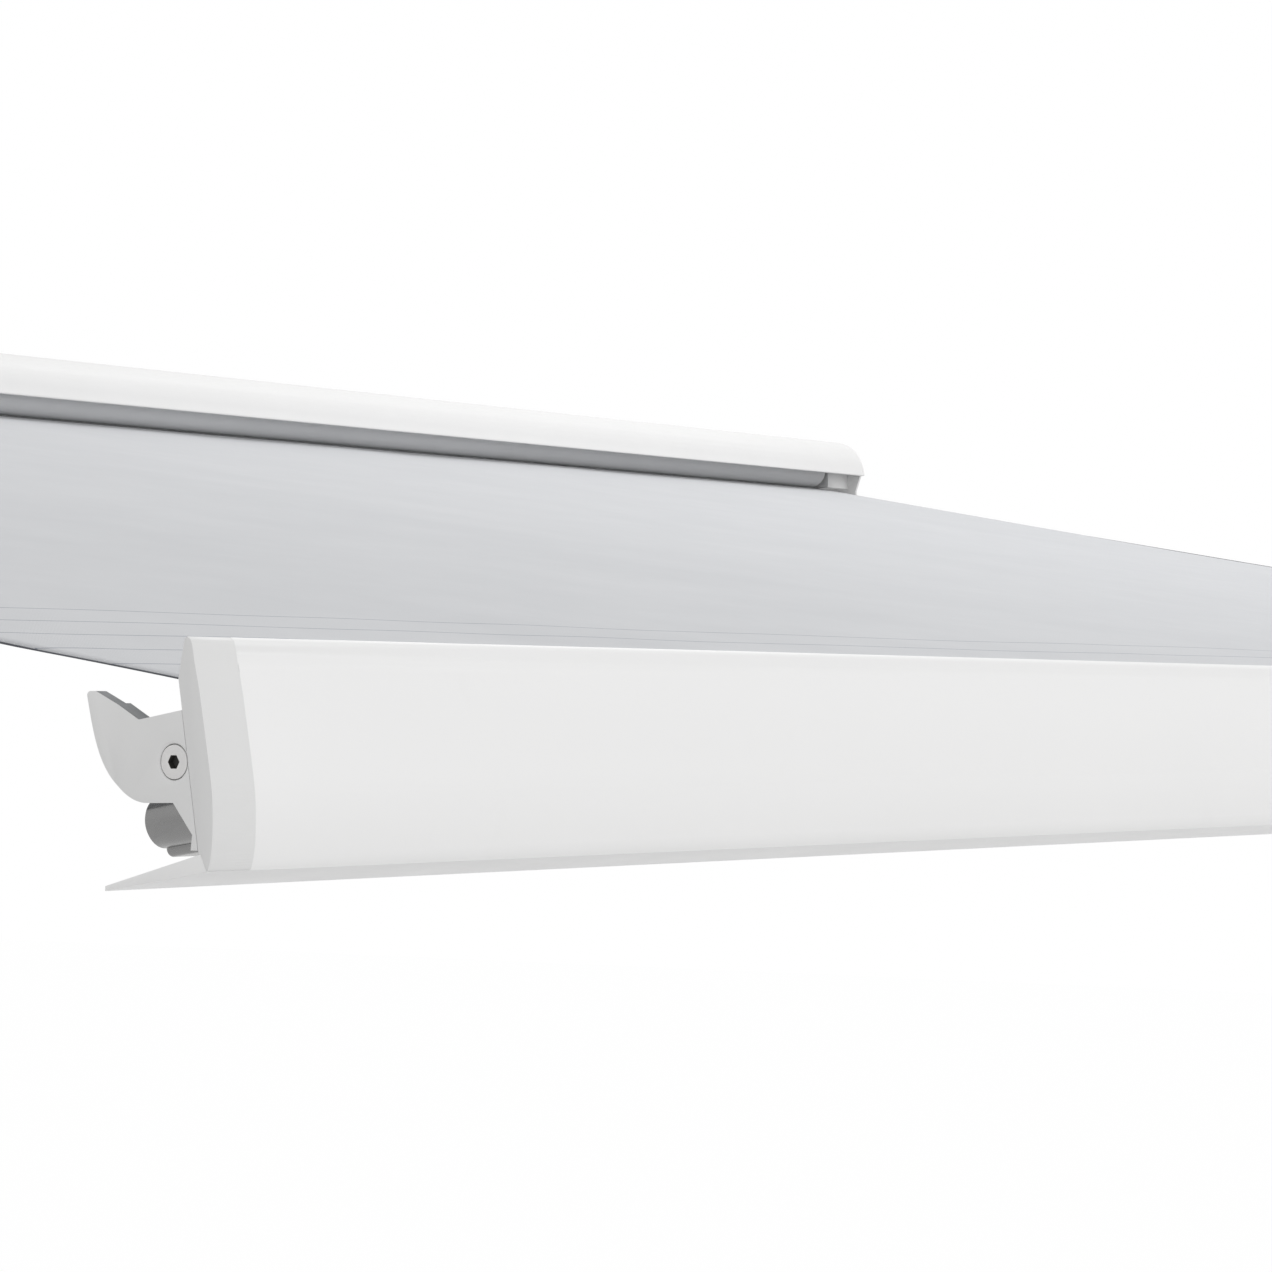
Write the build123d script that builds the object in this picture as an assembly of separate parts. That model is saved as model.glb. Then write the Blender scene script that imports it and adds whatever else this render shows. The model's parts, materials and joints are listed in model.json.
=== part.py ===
from build123d import *
from math import asin, atan2, cos, degrees, hypot, pi, radians, sin
import os

os.makedirs("parts", exist_ok=True)

# The awning is fixed to a wall at Y = 0 and rolls out towards -Y; X runs along it, Z is up.
# It is stored rolled out, with both support legs stowed behind the lead rail.

# Overall sizes
cassette_length = 4500.0
projection = 2500.0
canopy_slope = 9.8
wall_reach = 135.0
rail_top_level = 60.0
touch_gap = 0.3
run_gap = 0.05
seat_gap = 0.02

# Lead rail: sections are in its own frame, back from and up from its top front edge
rail_height = 140.0
rail_end_inset = 14.0
rail_skin = 2.0
cap_width = 39.0
cap_skin = 3.0
cap_proud = 0.5
bead_shares = [(0.0, -0.0143), (-0.0057, -0.0357), (-0.0025, -0.066), (-0.02, -0.1)]
plain_top_shares = [(0.0, -0.0143), (-0.0121, -0.055), (-0.02, -0.1)]
front_curve_shares = [
    (-0.02, -0.1),
    (-0.0379, -0.1786),
    (-0.0657, -0.3214),
    (-0.0871, -0.4429),
    (-0.1086, -0.5714),
    (-0.1236, -0.6929),
    (-0.1257, -0.7571),
    (-0.1257, -0.8143),
    (-0.1229, -0.8714),
    (-0.1157, -0.9286),
    (-0.1057, -0.9714),
    (-0.0971, -0.9943),
]
crest_share = (0.0171, 0.0)
crest_back_share = (0.0336, -0.0107)
rear_top_share = (0.0671, -0.1786)
rear_bottom_share = (-0.0593, -0.9886)
lip_root_top_share = (-0.06, -0.923)
lip_tip_top_share = (0.4829, -1.0686)
lip_tip_bottom_share = (0.4829, -1.09)
lip_root_bottom_share = (-0.0964, -0.9971)
main_bay_top = 42.0
main_bay_bottom = 128.0
fin_bay_top = 9.0
fin_bay_bottom = 21.0

# Keder slot and rod that hold the cloth's front edge
keder_back = 3.0
keder_down = 31.0
keder_slot_radius = 3.5
keder_rod_radius = 3.0
keder_slit = 2.2

# Canopy cloth
cloth_thickness = 0.6
cloth_edge_inset = 42.0

# Cassette: sections are back from and up from the closed rail's top front edge
end_plate = 5.0
wall_skin = 3.0
back_wall_inner = 122.0
back_wall_top = 58.0
shelf_top = -155.0
shelf_front = 73.0
hood_height = 69.0
hood_lip_level = 3.0
hood_lip_front = -1.0
hood_curve_shares = [
    (-0.0181, 0.0543),
    (0.0203, 0.25),
    (0.1087, 0.4861),
    (0.258, 0.7083),
    (0.4725, 0.8611),
    (0.7536, 0.9583),
    (1.087, 1.0),
]
hood_bead = 7.0
rib_level = 46.0
rib_drop = 10.0
rib_back = 7.0
port_radius = 4.0
port_bore = 1.8

# Wall brackets
bracket_width = 130.0
bracket_plate = 5.0
bracket_web_level = 26.0
bracket_hook_top = 44.5
bracket_hook_thickness = 2.8
bracket_shelf_front = 95.0
bracket_shelf_thickness = 4.0
bracket_tab_bottom = -192.0
bracket_side_share = 0.78
wall_hole_radius = 4.5
wall_hole_spacing = 80.0
wall_hole_level = -177.0
shelf_bolt_spacing = 60.0
shelf_bolt_back = 106.0
bolt_radius = 4.0
bolt_head_radius = 6.5
bolt_head = 5.0

# Roller
roller_back = 62.0
roller_tube_radius = 30.0
roller_tube_wall = 1.6
wrap_thickness = 1.2
roller_left_gap = 12.0
roller_right_gap = 30.0
plug_depth = 60.0
stub_radius = 8.0
bush_radius = 12.0
boss_radius = 20.0
boss_length = 22.0

# Winding gear at the right end
gear_case_length = 67.0
gear_case_front = 33.0
gear_case_back = 118.0
gear_case_bottom = -20.0
gear_case_top = 54.0
gear_case_wall = 4.0
wheel_radius = 24.0
wheel_width = 16.0
worm_radius = 9.0
worm_length = 44.0
worm_shaft_radius = 5.0
mesh_gap = 0.4
eye_radius = 12.0
eye_bore = 6.5
eye_thickness = 8.0
eye_level = -178.0

# Folding arms: plan sizes are in the sloped plane of the arms
arm_link_share = 0.552
shoulder_share = 0.3333333
front_pin_back = 31.0
front_pin_down = 75.0
pin_spread = 61.0
arm_tube_width = 26.0
arm_tube_height = 46.0
arm_tube_wall = 2.0
arm_tube_round = 6.0
arm_tube_offset = 14.5
eye_boss_radius = 16.0
arm_pin_radius = 6.0
arm_pin_head_radius = 9.0
arm_pin_head = 2.6
fitting_length = 70.0
fitting_seat = 25.0
fitting_spigot = 40.0
elbow_block_far = 55.0
elbow_block_near = 18.5
fork_ear = 11.0
fork_gap = 0.4
bracket_ear = 6.0
ear_gap = 1.0
mount_plate = 5.0
mount_width = 100.0
mount_height = 76.0
shoulder_plate = 8.0
shoulder_plate_width = 110.0
shoulder_plate_bottom = -105.0
shoulder_plate_top = -30.0
shoulder_bolt_spacing_x = 84.0
shoulder_bolt_spacing_z = 52.0
spring_radius = 9.0
spring_bore = 5.5
spring_start = 150.0
spring_length = 560.0
pull_rod_radius = 3.0
spring_hook_plate = 4.0

# Closing hooks and their pegs
hook_thickness = 12.8
hook_shares = [
    (0.2907, -0.3536),
    (0.5179, -0.23),
    (0.5643, -0.23),
    (0.5229, -0.4286),
    (0.4343, -0.6129),
    (0.3186, -0.6957),
    (0.2364, -0.7093),
    (0.0943, -0.7071),
    (-0.0143, -0.8414),
    (-0.0057, -0.9071),
]
hook_top_share = -0.3136
hook_tail_share = -0.9071
hook_bend_back = 57.0
hook_flare = 14.0
hook_round = 2.5
hook_screw_back = 13.2
hook_screw_down = 74.7
screw_recess_radius = 11.0
screw_rim_radius = 12.4
screw_rim = 1.0
screw_recess = 4.0
screw_head_radius = 10.4
screw_head = 3.6
screw_socket_radius = 4.6
screw_socket = 4.8
screw_radius = 5.0
screw_length = 34.0
peg_back = 50.0
peg_down = 31.0
peg_radius = 5.0
peg_length = 20.0
cap_screw_radius = 1.75
cap_screw_head_radius = 4.5
cap_screw_head = 2.6
cap_screw_length = 26.0
cap_screw_recess = 3.0

# Support legs: places are behind the rail's rear face and up its face
leg_axis_x = 87.5
leg_axis_up = -97.0
leg_drop = 9.0
leg_reach = 94.0
leg_radius = 12.5
leg_wall = 1.5
leg_tube_length = 1250.0
inner_radius = 10.7
inner_wall = 1.5
inner_start = 36.0
inner_overhang = 22.0
leg_travel = 1000.0
barrel_radius = 16.0
barrel_end = 106.0
barrel_chamfer = 2.2
barrel_start = 28.5
spindle_radius = 8.0
spindle_start = 7.0
head_offset = 2.5
head_length = 45.0
head_round = 5.0
head_spigot = 30.0
collar_radius = 14.4
collar_length = 40.0
lever_width = 16.0
lever_thickness = 7.0
lever_length = 74.0
lever_lug = 6.0
lever_pin_radius = 2.5
lever_pin_drop = 18.5
foot_radius = 20.0
foot_thickness = 8.0
foot_neck = 16.0
foot_ear = 4.0
foot_pin_radius = 3.0
foot_pin_ahead = 14.0
block_plate = 6.0
block_boss_radius = 20.0
block_boss_length = 28.0
block_top = -58.0
block_step = -100.0
block_bottom = -122.0
block_start = 13.0
block_step_x = 48.0
block_end = 115.0
block_screw_boss = 30.0
clip_share = 0.92
clip_width = 25.0
clip_plate_top = -95.0
clip_plate = 4.0
clip_foot_plate = 4.0
clip_foot_top = -80.0
clip_foot_bottom = -112.0
clip_jaw = 2.4
clip_jaw_bottom = -108.0
clip_bridge = 3.2

# Places worked out from the sizes above
slope = radians(canopy_slope)
half_length = cassette_length / 2
rail_half = half_length - rail_end_inset
front_bulge = rail_height * abs(front_curve_shares[6][0])
travel = (projection - wall_reach - front_bulge) / cos(slope)
open_back = -wall_reach - travel * cos(slope)
open_level = rail_top_level - travel * sin(slope)


def of_height(share):
    return (share[0] * rail_height, share[1] * rail_height)


def face_of(points):
    return make_face(Polyline(*points, close=True))


def along_x(section, x_from, x_to):
    return Pos(x_from, 0, 0) * extrude(Plane.YZ * section, amount=x_to - x_from)


def box_between(low, high):
    size = [high[k] - low[k] for k in range(3)]
    middle = [(high[k] + low[k]) / 2 for k in range(3)]
    return Pos(*middle) * Box(*size)


def rod(radius, length):
    return extrude(Circle(radius), amount=length)


def rod_x(radius, x_from, x_to):
    return Pos(x_from, 0, 0) * extrude(Plane.YZ * Circle(radius), amount=x_to - x_from)


def mirrored(part):
    return mirror(part, about=Plane.YZ)


def in_open_rail(part):
    return Pos(0, open_back, open_level) * part


def in_cassette(part):
    return Pos(0, -wall_reach, rail_top_level) * part


def keep(name, part):
    part.label = name
    export_step(part, "parts/" + name + ".step")


rear_top = of_height(rear_top_share)
rear_bottom = of_height(rear_bottom_share)
lean = atan2(rear_top[0] - rear_bottom[0], rear_top[1] - rear_bottom[1])


def rear_back(level):
    return rear_top[0] - (rear_top[1] - level) * sin(lean) / cos(lean)


# Frame on the rail's rear face: local Y points off the face, local Z up the face
def on_rear(part):
    face_out = rear_top[0] * cos(lean) - rear_top[1] * sin(lean)
    origin = (0, face_out * cos(lean), -face_out * sin(lean))
    return Location(origin, (-degrees(lean), 0, 0)) * part


def moved_points(points, back, up):
    return [(p[0] + back, p[1] + up) for p in points]


# Rail section: the front curve runs from the top bead to the bottom, the rear face is flat
def rail_face(top_shares, inset, grow):
    start = [of_height(s) for s in top_shares[:-1]]
    curve = [of_height(s) for s in front_curve_shares]
    start = moved_points(start, inset - grow, 0)
    curve = moved_points(curve, inset - grow, 0)
    back = [
        of_height(rear_bottom_share),
        of_height(rear_top_share),
        of_height(crest_back_share),
        of_height(crest_share),
    ]
    back = moved_points(back, -inset, 0)
    lines = Curve() + Spline(*(start + curve))
    lines += Polyline(curve[-1], back[0], back[1], back[2], back[3], start[0])
    return make_face(lines)


lip_points = [
    of_height(lip_root_top_share),
    of_height(lip_tip_top_share),
    of_height(lip_tip_bottom_share),
    of_height(lip_root_bottom_share),
]
lip_bar = along_x(face_of(lip_points), -rail_half, rail_half)
body_half = rail_half - cap_width
rail_body = along_x(rail_face(bead_shares, 0, 0), -body_half, body_half)
bay_bar = along_x(rail_face(bead_shares, rail_skin, 0), -body_half, body_half)
wide = wall_reach
main_bay = bay_bar & box_between(
    (-rail_half, -wide, -main_bay_bottom), (rail_half, wide, -main_bay_top)
)
fin_bay = bay_bar & box_between(
    (-rail_half, -wide, -fin_bay_bottom), (rail_half, wide, -fin_bay_top)
)
keder_spot = (keder_back, -keder_down)
keder_hole = along_x(Pos(*keder_spot) * Circle(keder_slot_radius), -body_half, body_half)
slit_face = Rectangle(4 * keder_slot_radius, keder_slit, align=(Align.MIN, Align.CENTER))
keder_cut = along_x(
    Pos(*keder_spot) * Rot(0, 0, canopy_slope) * slit_face, -body_half, body_half
)
front_profile = rail_body + lip_bar
front_profile -= main_bay
front_profile -= fin_bay
front_profile -= keder_hole
front_profile -= keder_cut
keep("front_profile", in_open_rail(front_profile))
keep("canopy_keder", in_open_rail(
    along_x(Pos(*keder_spot) * Circle(keder_rod_radius), -body_half + cap_skin, body_half - cap_skin)
))

# Rail end cap: a hollow cap that carries the rail's section to its end above the lip
cap_bar = along_x(rail_face(plain_top_shares, 0, cap_proud), -rail_half, -body_half)
cap_bay = along_x(
    rail_face(plain_top_shares, cap_skin, 0), -rail_half + cap_skin, -body_half + seat_gap
)
cap_bay = cap_bay & box_between(
    (-rail_half, -wide, -main_bay_bottom), (0, wide, -fin_bay_top)
)
cap_left = cap_bar - cap_bay - lip_bar
keep("rail_end_cap_left", in_open_rail(cap_left))
keep("rail_end_cap_right", in_open_rail(mirrored(cap_left)))

# Closing hook: a thick plate behind the end cap whose rear wing flares outwards
hook_top = hook_top_share * rail_height
hook_tail = hook_tail_share * rail_height
hook_start = (rear_back(hook_top) + touch_gap, hook_top)
hook_end = (rear_back(hook_tail) + touch_gap, hook_tail)
hook_points = [of_height(s) for s in hook_shares]
hook_lines = Curve() + Polyline(hook_start, hook_points[0], hook_points[1], hook_points[2])
hook_lines += Spline(*hook_points[2:7])
hook_lines += Polyline(hook_points[6], hook_points[7], hook_points[8], hook_points[9], hook_end, hook_start)
hook_flat = along_x(make_face(hook_lines), -rail_half, -rail_half + hook_thickness)
hook_corners = hook_flat.edges().filter_by(Axis.X)
hook_corners = hook_corners.filter_by(lambda e: e.center().Y > 2 * hook_screw_back)
hook_corners = hook_corners.filter_by(lambda e: e.center().Z > -rail_height / 2)
hook_flat = fillet(hook_corners, hook_round)
fore_box = box_between((-rail_half - wide, -wide, -2 * wide), (0, hook_bend_back, wide))
hook_plate = hook_flat & fore_box
wing_side = Pos(-rail_half, hook_bend_back, 0) * Rot(0, 0, hook_flare)
wing = wing_side * (
    Pos(rail_half, -hook_bend_back, 0) * (hook_flat - fore_box)
)
bend_fill = hook_flat & box_between(
    (-rail_half, hook_bend_back - rail_skin, -2 * wide),
    (-rail_half + hook_thickness, hook_bend_back + rail_skin, wide),
)
hook_left = hook_plate + wing + bend_fill
screw_spot = Pos(-rail_half, hook_screw_back, -hook_screw_down)
hook_left -= screw_spot * rod_x(screw_recess_radius, 0, screw_recess)
rim_cone = Pos(screw_rim / 2, 0, 0) * Rot(0, 90, 0) * Cone(screw_rim_radius, screw_recess_radius, screw_rim)
hook_left -= screw_spot * rim_cone
hook_left -= screw_spot * rod_x(screw_radius + touch_gap, 0, hook_thickness)
keep("closing_hook_left", in_open_rail(hook_left))
keep("closing_hook_right", in_open_rail(mirrored(hook_left)))

hook_screw = rod_x(screw_head_radius, screw_recess - screw_head, screw_recess)
hook_screw += rod_x(screw_radius, screw_recess, screw_length)
hook_screw = fillet(
    hook_screw.edges().filter_by(GeomType.CIRCLE).group_by(Axis.X)[0], screw_head / 4
)
socket_face = Plane.YZ * RegularPolygon(screw_socket_radius, 6)
hook_screw -= Pos(screw_recess - screw_head, 0, 0) * extrude(socket_face, amount=screw_socket)
hook_screw = screw_spot * hook_screw
keep("hook_screws", in_open_rail(Compound(children=[hook_screw, mirrored(hook_screw)])))

# Leg pivot block on the rail's rear face
axis_x = -rail_half + leg_axis_x
block = box_between(
    (-rail_half + block_start, touch_gap * 0, block_step),
    (-rail_half + block_end, block_plate, block_top),
)
block += box_between(
    (-rail_half + block_step_x, 0, block_bottom),
    (-rail_half + block_end, block_plate, block_step),
)
barrel_line = Pos(axis_x, 0, leg_axis_up)
towards_back = Rot(-90, 0, 0)
block += barrel_line * towards_back * rod(block_boss_radius, block_boss_length)
screw_off = hook_screw_back * cos(lean) + hook_screw_down * sin(lean)
screw_off -= rear_top[0] * cos(lean) - rear_top[1] * sin(lean)
screw_up = hook_screw_back * sin(lean) - hook_screw_down * cos(lean)
block += box_between(
    (-rail_half + block_start, 0, screw_up - screw_head_radius),
    (-rail_half + block_start + block_screw_boss, screw_off + screw_head_radius, block_top),
)
block -= Pos(-rail_half, screw_off, screw_up) * rod_x(
    screw_radius + seat_gap, block_start - seat_gap, screw_length + seat_gap
)
block -= barrel_line * Pos(0, spindle_start - touch_gap, 0) * towards_back * rod(
    spindle_radius + run_gap, block_boss_length
)
block = on_rear(block)
keep("leg_pivot_block_left", in_open_rail(block))
keep("leg_pivot_block_right", in_open_rail(mirrored(block)))

# Moving leg: barrel and head in one casting, outer tube with clamp collar, inner tube, foot
barrel = Pos(0, barrel_start, 0) * towards_back * rod(barrel_radius, barrel_end - barrel_start)
barrel = chamfer(
    barrel.edges().filter_by(GeomType.CIRCLE).group_by(Axis.Y)[-1], barrel_chamfer
)
barrel += Pos(0, spindle_start, 0) * towards_back * rod(
    spindle_radius, barrel_start - spindle_start + run_gap
)
head_box = box_between(
    (head_offset, leg_reach - leg_radius, -leg_drop - leg_radius),
    (head_length, leg_reach + leg_radius, -leg_drop + leg_radius),
)
head_box = fillet(head_box.edges().filter_by(Axis.Y).group_by(Axis.X)[0], head_round)
head_box = fillet(head_box.edges().filter_by(Axis.Z).group_by(Axis.X)[0], head_round / 2)
leg_line = Pos(0, leg_reach, -leg_drop)
inner_bore = leg_radius - leg_wall
spigot = leg_line * rod_x(
    inner_bore - seat_gap, head_length - seat_gap, head_length + head_spigot
)
leg_head = barrel + head_box + spigot


def as_left_leg(part):
    return in_open_rail(on_rear(barrel_line * part))


def keep_leg(name, part):
    placed = as_left_leg(part)
    keep(name + "_left", placed)
    keep(name + "_right", mirrored(placed))


keep_leg("leg_barrel", leg_head)
mouth = head_length + leg_tube_length
outer_tube = rod_x(leg_radius, head_length, mouth)
outer_tube += rod_x(collar_radius, mouth - collar_length, mouth)
outer_tube -= rod_x(inner_bore, head_length, mouth)
lug = box_between(
    (mouth - collar_length, -lever_width / 2 - lever_lug / 2, -lever_pin_drop - 2 * lever_pin_radius),
    (mouth - collar_length / 2, -lever_width / 2 + lever_lug / 2, -leg_radius + leg_wall / 2),
)
lug_far = mirror(lug, about=Plane.XZ)
outer_tube += lug + lug_far
lever_x = mouth - collar_length * 0.75
pin_hole = Pos(lever_x, -lever_width, -lever_pin_drop) * towards_back * rod(
    lever_pin_radius + run_gap, 2 * lever_width
)
outer_tube -= pin_hole
keep_leg("leg_outer_tube", leg_line * outer_tube)

# Clamp lever lies under the tube, its cam between the collar's lugs
lever_half = lever_width / 2 - lever_lug / 2 - touch_gap
cam_radius = lever_pin_drop - collar_radius - touch_gap
lever = Pos(lever_x, -lever_half, -lever_pin_drop) * towards_back * rod(cam_radius, 2 * lever_half)
lever_bar = box_between(
    (lever_x - lever_length, -lever_half, -lever_pin_drop - cam_radius),
    (lever_x, lever_half, -lever_pin_drop + cam_radius / 4),
)
lever_bar = fillet(lever_bar.edges().filter_by(Axis.Z).group_by(Axis.X)[0], lever_half / 2)
lever += lever_bar
lever_pin = Pos(lever_x, -lever_width / 2 - lever_lug / 2, -lever_pin_drop)
lever += lever_pin * towards_back * rod(lever_pin_radius, lever_width + lever_lug)
keep_leg("leg_clamp_lever", leg_line * lever)

inner_end = mouth + inner_overhang
inner_from = head_length + inner_start
inner_tube = rod_x(inner_radius, inner_from, inner_end)
inner_tube -= rod_x(inner_radius - inner_wall, inner_from, inner_end - foot_ear)
ear_half = foot_radius / 2
foot_pin_x = inner_end + foot_pin_ahead
tongue = box_between(
    (inner_end - foot_ear / 2, -foot_ear / 2, -foot_neck / 2),
    (foot_pin_x, foot_ear / 2, foot_neck / 2),
)
tongue += Pos(foot_pin_x, -foot_ear / 2, 0) * towards_back * rod(foot_neck / 2, foot_ear)
tongue -= Pos(foot_pin_x, -foot_ear, 0) * towards_back * rod(
    foot_pin_radius + run_gap, 2 * foot_ear
)
inner_tube += tongue
keep_leg("leg_inner_tube", leg_line * inner_tube)

# Foot: a round pad with two ears and a pin through the inner tube's tongue
pad_x = foot_pin_x + foot_neck / 2 + foot_ear / 2
foot = rod_x(foot_radius, pad_x, pad_x + foot_thickness)
foot = fillet(
    foot.edges().filter_by(GeomType.CIRCLE).group_by(Axis.X)[-1], foot_thickness / 4
)
for side in (-1, 1):
    inner_face = side * (foot_ear / 2 + touch_gap)
    outer_face = side * (foot_ear / 2 + touch_gap + foot_ear)
    ear = box_between(
        (foot_pin_x, min(inner_face, outer_face), -foot_neck / 2),
        (pad_x + foot_ear / 2, max(inner_face, outer_face), foot_neck / 2),
    )
    ear += Pos(foot_pin_x, min(inner_face, outer_face), 0) * towards_back * rod(
        foot_neck / 2, foot_ear
    )
    foot += ear
pin_span = foot_ear / 2 + touch_gap + foot_ear
foot += Pos(foot_pin_x, -pin_span, 0) * towards_back * rod(foot_pin_radius, 2 * pin_span)
keep_leg("leg_foot", leg_line * foot)

# Leg clips: an arm over the lip and a fork open downwards around the stowed leg
clip_left = -rail_half + leg_tube_length * clip_share
clip_right = clip_left + clip_width
leg_up = leg_axis_up - leg_drop
jaw_near = leg_reach - leg_radius - touch_gap
jaw_far = leg_reach + leg_radius + touch_gap
clip = box_between((clip_left, 0, clip_foot_bottom), (clip_right, clip_foot_plate, clip_foot_top))
clip += box_between(
    (clip_left, 0, clip_plate_top - clip_plate), (clip_right, jaw_near, clip_plate_top)
)
bridge_low = leg_up + leg_radius + touch_gap
clip += box_between(
    (clip_left, jaw_near - clip_jaw, clip_jaw_bottom), (clip_right, jaw_near, bridge_low + clip_bridge)
)
clip += box_between(
    (clip_left, jaw_near - clip_jaw, bridge_low), (clip_right, jaw_far + clip_jaw, bridge_low + clip_bridge)
)
clip += box_between(
    (clip_left, jaw_far, clip_jaw_bottom), (clip_right, jaw_far + clip_jaw, bridge_low + clip_bridge)
)
clip = in_open_rail(on_rear(clip))
keep("leg_clips", Compound(children=[clip, mirrored(clip)]))

# Folding arms are drawn folded, in the sloped plane, then turned to their open places
half_spread = pin_spread / 2
arm_link = projection * arm_link_share
shoulder_x = cassette_length * shoulder_share
folded_angle = asin(half_spread / arm_link)
open_angle = asin((pin_spread + travel) / 2 / arm_link)
swing = degrees(open_angle - folded_angle)
front_pin_spot = (front_pin_back, -front_pin_down)
middle_back = front_pin_spot[0] + half_spread * cos(slope)
middle_up = front_pin_spot[1] + half_spread * sin(slope)
arm_seat = Location((0, middle_back, middle_up), (canopy_slope, 0, 0))
shoulder_spot = (-shoulder_x, half_spread)
front_spot = (-shoulder_x, -half_spread)
elbow_folded = (-shoulder_x + arm_link * cos(folded_angle), 0)
elbow_open = (
    shoulder_spot[0] + arm_link * cos(open_angle),
    shoulder_spot[1] - arm_link * sin(open_angle),
)
arm_half = arm_tube_height / 2
tube_half = arm_tube_width / 2
near_face = arm_tube_offset - tube_half
far_face = arm_tube_offset + tube_half


def hull_of(*faces):
    edges = ShapeList()
    for face in faces:
        edges += face.edges()
    return make_hull(edges)


def plan_rect(x_from, x_to, t_from, t_to):
    return Pos((x_from + x_to) / 2, (t_from + t_to) / 2) * Rectangle(x_to - x_from, t_to - t_from)


def slab(face, n_from, n_to):
    return Pos(0, 0, n_from) * extrude(face, amount=n_to - n_from)


def turned_upper(part):
    spot = Pos(shoulder_spot[0], shoulder_spot[1], 0)
    return spot * Rot(0, 0, -swing) * spot.inverse() * part


def turned_forearm(part):
    there = Pos(elbow_open[0], elbow_open[1], 0)
    here = Pos(elbow_folded[0], elbow_folded[1], 0)
    return there * Rot(0, 0, swing) * here.inverse() * part


def flipped(part):
    return mirror(part, about=Plane.XZ)


def keep_arm(name, part):
    placed = in_cassette(arm_seat * part)
    keep(name + "_left", placed)
    keep(name + "_right", mirrored(placed))


tube_from = -shoulder_x + fitting_length
tube_to = elbow_folded[0] - elbow_block_far
tube_outer = RectangleRounded(arm_tube_width, arm_tube_height, arm_tube_round)
tube_inner = RectangleRounded(
    arm_tube_width - 2 * arm_tube_wall,
    arm_tube_height - 2 * arm_tube_wall,
    arm_tube_round - arm_tube_wall,
)
arm_tube = Pos(0, arm_tube_offset, 0) * along_x(tube_outer - tube_inner, tube_from, tube_to)
keep_arm("upper_arm_tube", turned_upper(arm_tube))
keep_arm("forearm_tube", turned_forearm(flipped(arm_tube)))

spigot_half = tube_half - arm_tube_wall - run_gap
spigot_tall = arm_half - arm_tube_wall - run_gap
pin_fit_radius = arm_pin_radius + run_gap
spigot_face = RectangleRounded(2 * spigot_half, 2 * spigot_tall, arm_tube_round - arm_tube_wall)


def spigot_bar(x_from, x_to):
    return Pos(0, arm_tube_offset, 0) * along_x(spigot_face, x_from, x_to)


def arm_eye_fitting():
    spot = Pos(*shoulder_spot)
    plan = hull_of(
        spot * Circle(eye_boss_radius),
        plan_rect(tube_from - fitting_seat, tube_from, near_face, far_face),
    )
    body = slab(plan, -arm_half, arm_half)
    body += spigot_bar(tube_from - seat_gap, tube_from + fitting_spigot)
    return body - slab(spot * Circle(pin_fit_radius), -arm_half, arm_half)


eye_fitting = arm_eye_fitting()
keep_arm("shoulder_fitting", turned_upper(eye_fitting))
keep_arm("front_fitting", turned_forearm(flipped(eye_fitting)))

elbow_x = elbow_folded[0]
block_far = elbow_x - elbow_block_far
block_near = elbow_x - elbow_block_near
ear_plan = hull_of(
    Pos(elbow_x, 0) * Circle(eye_boss_radius),
    plan_rect(block_near - fork_ear, block_near, near_face, far_face),
)
ear_plan -= plan_rect(block_far, block_near + 2 * ear_gap, -far_face, near_face / 3)
elbow_hole = slab(Pos(elbow_x, 0) * Circle(pin_fit_radius), -arm_half, arm_half)
elbow_plug = box_between(
    (block_far, near_face, -arm_half), (block_near, far_face, arm_half)
)
elbow_plug += spigot_bar(block_far - fitting_spigot, block_far + seat_gap)
elbow_fork = elbow_plug + slab(ear_plan, arm_half - fork_ear, arm_half)
elbow_fork += slab(ear_plan, -arm_half, -arm_half + fork_ear)
elbow_fork -= slab(Pos(elbow_x, 0) * Circle(arm_pin_radius + seat_gap), -arm_half, arm_half)
keep_arm("elbow_fork", turned_upper(elbow_fork))
tongue_half = arm_half - fork_ear - fork_gap
elbow_tongue = elbow_plug + slab(ear_plan, -tongue_half, tongue_half)
elbow_tongue -= elbow_hole
keep_arm("elbow_tongue", turned_forearm(flipped(elbow_tongue)))


def headed_pin(half_span):
    body = slab(Circle(arm_pin_radius), -half_span, half_span)
    body += slab(Circle(arm_pin_head_radius), half_span, half_span + arm_pin_head)
    body += slab(Circle(arm_pin_head_radius), -half_span - arm_pin_head, -half_span)
    return body


elbow_pin = Pos(elbow_x, 0, 0) * headed_pin(arm_half + seat_gap)
keep_arm("elbow_pin", turned_upper(elbow_pin))

# Tension spring inside the upper tube, hooked to a plate and pulled by a rod to the elbow
spring_from = tube_from + fitting_spigot + spring_start
spring_to = spring_from + spring_length
spring_line = Pos(0, arm_tube_offset, 0)
spring = rod_x(spring_radius, spring_from, spring_to)
spring -= rod_x(spring_bore, spring_from + spring_hook_plate, spring_to - spring_hook_plate)
spring += rod_x(
    pull_rod_radius, tube_from + fitting_spigot, spring_from + seat_gap
)
spring += rod_x(pull_rod_radius, spring_to - seat_gap, block_far - fitting_spigot)
keep_arm("arm_spring", turned_upper(spring_line * spring))

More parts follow.
